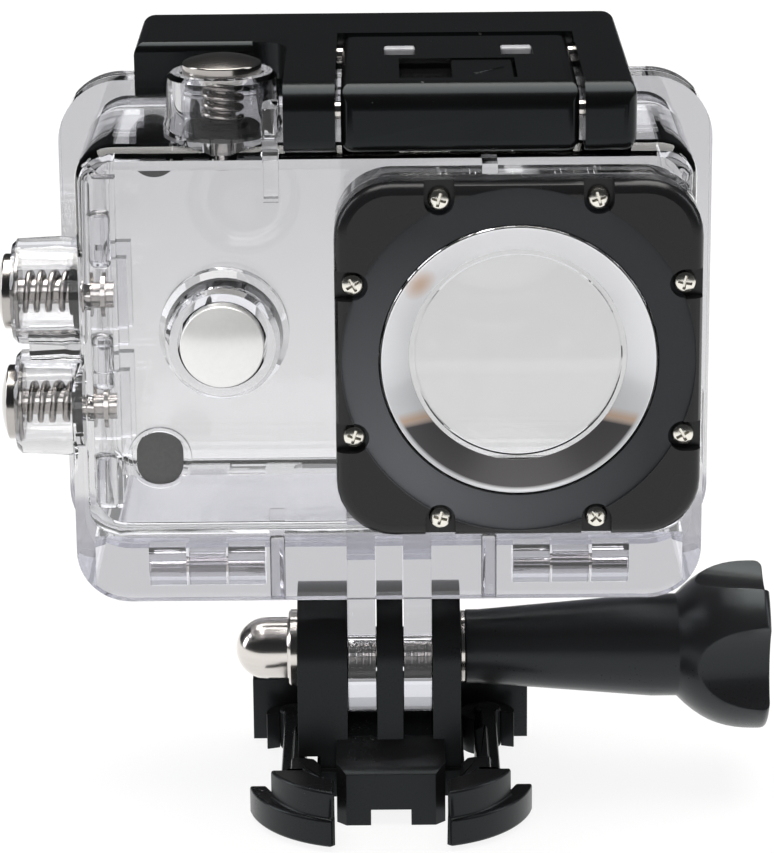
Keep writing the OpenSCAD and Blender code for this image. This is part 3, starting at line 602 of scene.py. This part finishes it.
def trimmed(node, radius, brow):
    """A CAD node cut to a box with rounded corners and a rounder front top edge."""
    low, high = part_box(node)
    piece = add(node + "_finished", merged_copy(node))
    combined(piece, rounded_block(low, high, radius), "INTERSECT")
    outline = [(low.y, low.z - MM), (high.y + MM, low.z - MM), (high.y + MM, high.z + MM)]
    outline += [(low.y + brow, high.z + MM)]
    outline += arc((low.y + brow, high.z - brow), brow, 90.0, 180.0, 14)
    return combined(piece, prism(outline, low.x - MM, high.x + MM, "X"), "INTERSECT")


def latch_frame():
    """The latch's bar and arms, with the hollow corner where the left arm meets the bar."""
    piece = trimmed("latch_frame", 1.5 * MM, 2.9 * MM)
    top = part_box("latch_frame")[1].z
    arm_x, bar_y, size, lap = LEVER_LEFT - 6.2 * MM, 9.6 * MM, 4.0 * MM, 1.0 * MM
    outline = [(arm_x + size, bar_y + lap), (arm_x - size, bar_y + lap)]
    outline += arc((arm_x - size, bar_y - size), size, 90.0, 0.0, 10)
    outline += [(arm_x + size, bar_y - size)]
    combined(piece, prism(outline, top - 4.0 * MM, top - 0.02 * MM), "UNION")
    return finish(soften(piece, 0.4 * MM), "latch_frame")


def latch_lever():
    piece = trimmed("latch_lever", 1.4 * MM, 2.9 * MM)
    lever_lights()
    return finish(soften(piece, 0.28 * MM), "latch_lever")


def lever_lights():
    """Pale translucent inserts that fill the lever's two windows: painted light, standing in for
    the light that shows through them from below.
    """
    half, front, back, bottom, top = 1.78, 5.22, 10.58, 84.2, 86.15
    for name, x in (("left", 1.65), ("right", 14.75)):
        low = Vector((x - half, front, bottom)) * MM
        high = Vector((x + half, back, top)) * MM
        piece = smooth(add("lever_insert_" + name, rounded_block(low, high, 0.3 * MM, 3)))
        extra(piece, "lever", "clear_polycarbonate", INSERT_PAINTED_LIGHT)


def slide_lock():
    """A flat slider with a thin slanted ridge for the thumb."""
    low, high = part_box("slide_lock")
    rise, root, wide = 0.1 * MM, 0.5 * MM, 0.4 * MM
    plate_top = high.z - rise
    plate = rounded_block(low, (high.x, high.y, plate_top), 0.18 * MM, 3)
    piece = add("slide_lock_finished", plate)
    x0, x1 = low.x + 2.3 * MM, low.x + 5.4 * MM
    y0, y1 = low.y + 2.8 * MM, low.y + 6.2 * MM
    outline = [(x0, y0), (x0 + wide, y0 - wide), (x1 + wide, y1 - wide), (x1, y1)]
    combined(piece, prism(outline, plate_top - root, high.z), "UNION")
    return finish(soften(piece, 0.08 * MM, segments=2), "slide_lock")


# ---------- Buckle ----------

def buckle():
    """The base with the front corners of its nose cut off, and its two side clips.

    Each clip gets a shoulder behind its pad and a thicker arm, as (x, y) outlines in
    millimetres that leave the base room when the clip is squeezed.
    """
    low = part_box("buckle_base")[0]
    piece = add("buckle_base_finished", merged_copy("buckle_base", 0.1 * MM))
    nose, chamfer, past = 6.2 * MM, 1.1 * MM, 1 * MM
    for side in (-1, 1):
        x, y = side * nose, low.y
        cut = [(x - side * chamfer, y - past), (x + side * past, y - past),
               (x + side * past, y + chamfer), (x, y + chamfer), (x - side * chamfer, y)]
        combined(piece, prism(cut, -past, 12 * MM), "DIFFERENCE")
    finish(soften(piece, 0.4 * MM), "buckle_base")
    shoulder = [(11.4, -18.0), (7.7, -17.3), (7.95, -15.8), (8.05, -12.4), (8.7, -10.8),
                (10.0, -10.4), (11.4, -10.4)]
    thick_arm = [(11.3, -12.0), (10.0, -12.0), (9.8, -5.0), (9.8, -0.4), (11.0, 1.2), (11.3, 1.2)]
    for side, way in (("left", -1), ("right", 1)):
        node = "buckle_clip_" + side
        clip = add(node + "_finished", merged_copy(node, 0.12 * MM))
        for outline, top in ((shoulder, 7.0 * MM), (thick_arm, 6.2 * MM)):
            outline = [(way * x * MM, y * MM) for x, y in outline]
            combined(clip, prism(outline, 0.75 * MM, top), "UNION")
        finish(soften(clip, 0.3 * MM, clamp=False), node)


def acorn_nut():
    """A domed nut on its washer flange, open towards the mount."""
    low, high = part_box("acorn_nut")
    place = Vector((high.x, 0.0, (low.z + high.z) / 2))
    length = high.x - low.x
    bore, depth, dome, flange = 2.5 * MM, 4.3 * MM, 3.6 * MM, 4.5 * MM
    shape = [(bore, 0.0), (4.4 * MM, 0.0), (flange, 0.1 * MM), (flange, 0.85 * MM),
             (4.3 * MM, 1.08 * MM), (3.75 * MM, 1.1 * MM), (dome, 1.25 * MM)]
    shape += arc((0.0, length - dome), dome, 0.0, 84.0, 14)
    shape += [(0.0, length), (0.0, depth), (bore, depth), (bore, 0.0)]
    piece = joined(add("acorn_nut_finished", lathe(shape, place, TOWARDS_LEFT, 96)))
    finish(smooth(piece), "acorn_nut")


def bolt_and_washer():
    """The threaded bolt, and the washer that hides behind the barrel."""
    low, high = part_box("thumb_bolt")
    place = Vector((low.x, 0.0, (low.z + high.z) / 2))
    length, top, root, pitch = high.x - low.x, (high.z - low.z) / 2, 2.15 * MM, 0.8 * MM
    threaded = 25 * MM
    shape = [(0.0, 0.0), (root, 0.0)]
    for i in range(int(threaded / pitch)):
        shape += [(top, (i + 0.5) * pitch), (top, (i + 0.62) * pitch), (root, (i + 1.0) * pitch)]
    shape += [(top, shape[-1][1] + 0.3 * MM), (top, length - 0.2 * MM),
              (top - 0.2 * MM, length), (0.0, length)]
    bolt = add("thumb_bolt_finished", lathe(shape, place, TOWARDS_RIGHT, 48))
    finish(smooth(bolt, 25.0), "thumb_bolt")
    low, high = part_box("thumb_washer")
    place = Vector((low.x, 0.0, (low.z + high.z) / 2))
    thick = high.x - low.x
    bore, flat, rim, corner = 2.55 * MM, 4.1 * MM, 4.2 * MM, 0.1 * MM
    ring = [(bore, 0.0), (flat, 0.0), (rim, corner), (rim, thick - corner), (flat, thick),
            (bore, thick), (bore, 0.0)]
    washer = joined(add("thumb_washer_finished", lathe(ring, place, TOWARDS_RIGHT, 96)))
    finish(smooth(washer), "thumb_washer")


# ---------- Lens window and its screws ----------

def lens_window():
    """The dished window, and the thin ring that lines its bevel and carries the bevel's painted
    light, shade and glints.
    """
    low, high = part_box("lens_window")
    back, front = high.y, low.y
    rebate = 0.6 * MM
    seat = back - rebate
    place = Vector((LENS.x, seat, LENS.z))
    top = seat - front
    flat = top - 2.6 * MM
    glass = [(0.0, flat), (11.15 * MM, flat), (11.3 * MM, flat - 0.12 * MM),
             (11.45 * MM, flat), (11.94 * MM, flat), (14.86 * MM, top - 0.08 * MM),
             (15.1 * MM, top), (15.2 * MM, top - 0.1 * MM), (15.2 * MM, 1.1 * MM),
             (16.4 * MM, 1.1 * MM), (16.5 * MM, 1.0 * MM), (16.5 * MM, 0.03 * MM),
             (12.9 * MM, 0.03 * MM), (12.9 * MM, -0.5 * MM), (12.8 * MM, -rebate),
             (0.0, -rebate)]
    piece = add("lens_window_finished", lathe(glass, place, TOWARDS_FRONT, 160))
    finish(smooth(piece, 12.0), "lens_window")
    bevel = [(12.0 * MM, flat - 0.02 * MM), (11.96 * MM, flat + 0.02 * MM),
             (14.84 * MM, top - 0.02 * MM), (14.95 * MM, top), (14.98 * MM, top - 0.05 * MM),
             (12.1 * MM, flat - 0.05 * MM), (12.0 * MM, flat - 0.02 * MM)]
    ring = joined(smooth(add("window_bevel", lathe(bevel, place, TOWARDS_FRONT, 160)), 12.0))
    extra(ring, BODY_OF["lens_window"], "window_glass", BEVEL_PAINTED_LIGHT)


def screw_model():
    """One screw, head up: a domed head with a cross recess, and a shank."""
    dome = [(0.0, 1.15), (0.5, 1.12), (0.9, 1.02), (1.12, 0.86), (1.22, 0.62), (1.25, 0.4),
            (1.25, 0.06), (1.2, 0.0), (0.9, 0.0), (0.9, -6.4), (0.75, -6.7), (0.0, -6.8)]
    piece = add("screw", lathe([(r * MM, h * MM) for r, h in dome], Vector(), UPWARDS, 48))
    slot, narrow = 1.55, 0.34
    for wide, deep in ((slot, narrow), (narrow, slot)):
        bar = rounded_block((-wide / 2 * MM, -deep / 2 * MM, 0.5 * MM),
                            (wide / 2 * MM, deep / 2 * MM, 2.0 * MM), 0.05 * MM, 1)
        combined(piece, bar, "DIFFERENCE")
    return smooth(piece, 25.0)


def bezel_screws():
    """Two screws on each of the bezel's four sides."""
    reach, aside, sunk = 18.0, 8.6, 1.7
    places = bpy.data.meshes.new("screw_places")
    spots = []
    for a in range(4):
        for s in (-1, 1):
            c, n = round(math.cos(a * math.pi / 2)), round(math.sin(a * math.pi / 2))
            spots.append(Vector((LENS.x + (reach * c - s * aside * n) * MM,
                                 BEZEL_FRONT + sunk * MM,
                                 LENS.z + (reach * n + s * aside * c) * MM)))
    places.from_pydata(spots, [], [])
    model = screw_model()
    piece = screw_graph().grow("bezel_screws_finished", places, Screw=model, Seed=4,
                               Finish=SCREW_FINISH)
    bpy.data.objects.remove(model)
    finish(piece, "bezel_screws")


def springs():
    """Coils between the shell and their buttons.

    Each has its axis (0, 1 and 2 for X, Y and Z), its way along it from the shell to the
    button, and the turn that lays it there.
    """
    graph = spring_graph()
    wire = 0.35 * MM
    quarter = math.radians(90.0)
    ways = {"shutter_spring": (2, 1, (0.0, 0.0, 0.0)),
            "front_spring": (1, -1, (quarter, 0.0, 0.0)),
            "upper_side_spring": (0, -1, (0.0, -quarter, 0.0)),
            "lower_side_spring": (0, -1, (0.0, -quarter, 0.0))}
    for node, (axis, sign, turn) in ways.items():
        low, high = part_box(node)
        place = (low + high) / 2
        place[axis] = low[axis] + wire if sign > 0 else high[axis] - wire
        across = (axis + 1) % 3
        piece = graph.grow(node + "_finished", bpy.data.meshes.new("empty"),
                           Coil_radius=(high[across] - low[across]) / 2 - wire, Wire_radius=wire,
                           Height=high[axis] - low[axis] - 2 * wire, Turns=3.5,
                           Place=tuple(place), Turn=turn, Finish=FINISHES[SLOT_OF[node]])
        seat, button = place.copy(), place.copy()
        seat[axis] += sign * wire
        button[axis] = high[axis] - 2 * wire if sign > 0 else low[axis] + 2 * wire
        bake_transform(piece)
        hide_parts(node)


# ---------- Clear details that stand on the shell ----------

def clear_details():
    """Guide tabs inside the left wall, and two ribs over the chin."""
    half_high, half_wide = 3.2, 0.85
    for number, z in enumerate((67.5, 53.5, 39.5), 1):
        low = Vector((-32.5, -7.6, z - half_high)) * MM
        high = Vector((-30.5, -4.6, z + half_high)) * MM
        tab = smooth(add("guide_tab_%d" % number, rounded_block(low, high, 0.6 * MM, 3)))
        extra(tab, "housing", "clear_polycarbonate")
    for side, x in (("left", -12.6), ("right", 11.3)):
        low = Vector((x - half_wide, -8.75, 25.7)) * MM
        high = Vector((x + half_wide, -7.9, 33.2)) * MM
        rib = smooth(add("chin_rib_" + side, rounded_block(low, high, 0.3 * MM, 3)))
        extra(rib, "housing", "clear_polycarbonate")


for node in frame["nodes"]:
    if node not in DRAWN_ANEW:
        kept(node)
latch_frame()
latch_lever()
slide_lock()
buckle()
acorn_nut()
bolt_and_washer()
lens_window()
bezel_screws()
springs()
clear_details()


# ---------- Studio ----------

def surface(name, profile, tree):
    """A surface of revolution through (radius, height) pairs, closed in the middle."""
    turns = 96
    verts = [(r * math.cos(t), r * math.sin(t), z) for r, z in profile
             for t in [math.tau * i / turns for i in range(turns)]]
    faces = [(row * turns + i, row * turns + (i + 1) % turns,
              (row + 1) * turns + (i + 1) % turns, (row + 1) * turns + i)
             for row in range(len(profile) - 1) for i in range(turns)]
    faces.append(tuple(reversed(range(turns))))
    mesh = bpy.data.meshes.new(name)
    mesh.from_pydata(verts, [], faces)
    for face in mesh.polygons:
        face.use_smooth = len(face.vertices) == 4
    mesh.materials.append(tree.material)
    floor = add(name, mesh)
    return floor


def paper(name, glow):
    """Floor paper with its own light, fading away from the part."""
    tree = Tree(name)
    far = tree.distance((0.0, 0.0, 0.0), (1.0, 1.0, 0.0)).ramp(0.7, 2.4)
    return tree.set(Base_Color=grey(0.1), Roughness=0.9, Specular_IOR_Level=0.1,
                    Emission_Color=tree.mix(far, grey(1.0), grey(0.7)),
                    Emission_Strength=glow)


def floor_dish():
    """A round pale table whose rim curves up into a low wall, the same from every side.

    The camera sees it white. Clear and glossy parts see a greyer one, whose far part is as
    dark as a black card, so that black tops seen at a low angle stay dark.
    """
    inner, near_edge, flat, bend, wall, steps = 0.4, 0.75, 2.2, 0.4, 0.5, 12
    step_down = 0.0001
    dish = [(inner, 0.0), (flat, 0.0)]
    dish += [(flat + bend * math.sin(a), bend - bend * math.cos(a))
             for a in [math.pi / 2 * i / steps for i in range(1, steps + 1)]]
    dish.append((flat + bend, bend + wall))
    seen = surface("floor", dish, paper("floor_paper", 0.88))
    seen.visible_transmission = seen.visible_glossy = seen.visible_diffuse = False
    low = [(r, z - 2 * step_down) for r, z in dish]
    through = surface("floor_through", low, paper("through_paper", 0.53))
    through.visible_camera = through.visible_glossy = through.visible_diffuse = False
    lowest = [(inner, -3 * step_down), (near_edge, -3 * step_down)]
    near = surface("floor_near", lowest, paper("near_paper", 1.15))
    near.visible_camera = near.visible_transmission = False
    for piece in (seen, through, near):
        piece.visible_shadow = False


def area(name, place, target, size, power, tint=(1.0, 1.0, 1.0), fill=False):
    """An area lamp. A fill lights and shows through clear parts, but leaves no reflections."""
    light = bpy.data.lights.new(name, "AREA")
    light.shape = "RECTANGLE"
    light.size = size[0]
    light.size_y = size[1]
    light.energy = power
    light.color = tint
    lamp = bpy.data.objects.new(name, light)
    lamp.location = place
    lamp.rotation_euler = (Vector(target) - Vector(place)).to_track_quat("-Z", "Y").to_euler()
    lamp.visible_camera = False
    lamp.visible_glossy = not fill
    bpy.context.scene.collection.objects.link(lamp)


def lights():
    part = (0.0, 0.0, 0.05)
    area("key_above", (0.0, 0.1, 0.9), part, (1.0, 0.8), 16.0, (1.0, 0.98, 0.95))
    area("strip_left", (-1.0, 0.1, 0.45), part, (0.25, 0.8), 4.0, (0.95, 0.97, 1.0))
    area("strip_right", (1.0, 0.0, 0.5), part, (0.25, 0.8), 3.0, (0.95, 0.97, 1.0))
    area("fill_front", (-0.3, -1.3, 0.7), part, (1.2, 0.8), 8.0, fill=True)
    area("fill_above", (0.0, 0.2, 1.25), part, (2.4, 2.4), 9.0, fill=True)
    area("fill_back", (0.0, 1.5, 0.55), part, (2.6, 1.0), 6.0, (0.97, 0.98, 1.0), fill=True)
    world = bpy.data.worlds.new("studio")
    bpy.context.scene.world = world
    world.use_nodes = True
    world.node_tree.nodes["Background"].inputs[0].default_value = (0.9, 0.95, 1.0, 1.0)
    world.node_tree.nodes["Background"].inputs[1].default_value = 0.04


def camera():
    """Stands in front of the lens, a little above, with a long lens."""
    data = bpy.data.cameras.new("camera")
    data.lens = 155.3
    data.sensor_width = 36.0
    data.clip_start = 0.01
    data.clip_end = 20.0
    place = Vector((-0.0001, -0.4025, 0.1664))
    look = Vector((0.0, 0.9563, -0.2924)).normalized()
    made = bpy.data.objects.new("camera", data)
    turn = look.to_track_quat("-Z", "Y").to_matrix().to_4x4()
    roll = Matrix.Rotation(math.radians(-0.5), 4, "Z")
    made.matrix_world = Matrix.Translation(place) @ turn @ roll
    bpy.context.scene.collection.objects.link(made)
    bpy.context.scene.camera = made


floor_dish()
lights()
camera()
scene = bpy.context.scene
scene.view_settings.view_transform = "Standard"
scene.cycles.max_bounces = 24
scene.cycles.transmission_bounces = 24
scene.cycles.transparent_max_bounces = 24
